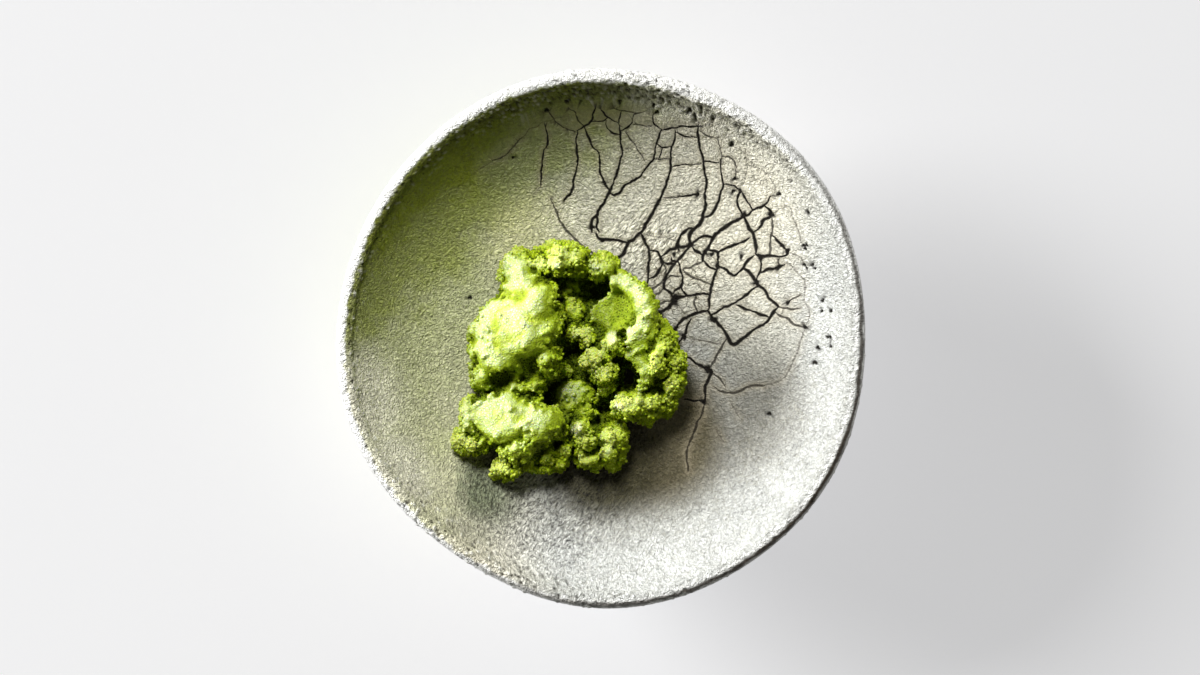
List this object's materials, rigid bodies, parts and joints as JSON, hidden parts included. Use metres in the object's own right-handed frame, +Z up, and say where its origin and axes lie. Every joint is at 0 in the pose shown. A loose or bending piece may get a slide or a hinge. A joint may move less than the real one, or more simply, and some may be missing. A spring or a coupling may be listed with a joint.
{
  "type": "dish of grated wasabi",
  "caption": "Small hand-thrown crackle-glazed stoneware dish on a foot ring, holding a rough heap of freshly grated wasabi paste.",
  "frame": {"origin": "on the table under the middle of the dish's outline, at the foot ring's underside", "axes": "+Z up out of the dish; +X towards the heap's granular side; +Y towards the top of the heap as seen from above, along the dish's longer diameter"},
  "size_m": [0.099, 0.101, 0.0256],
  "materials": {
    "glaze": "satin crackle glaze with a gritty rim",
    "paste": "moist, granular"
  },
  "bodies": {
    "root": {"dish": "glaze", "wasabi": "paste"}
  },
  "joints": []
}
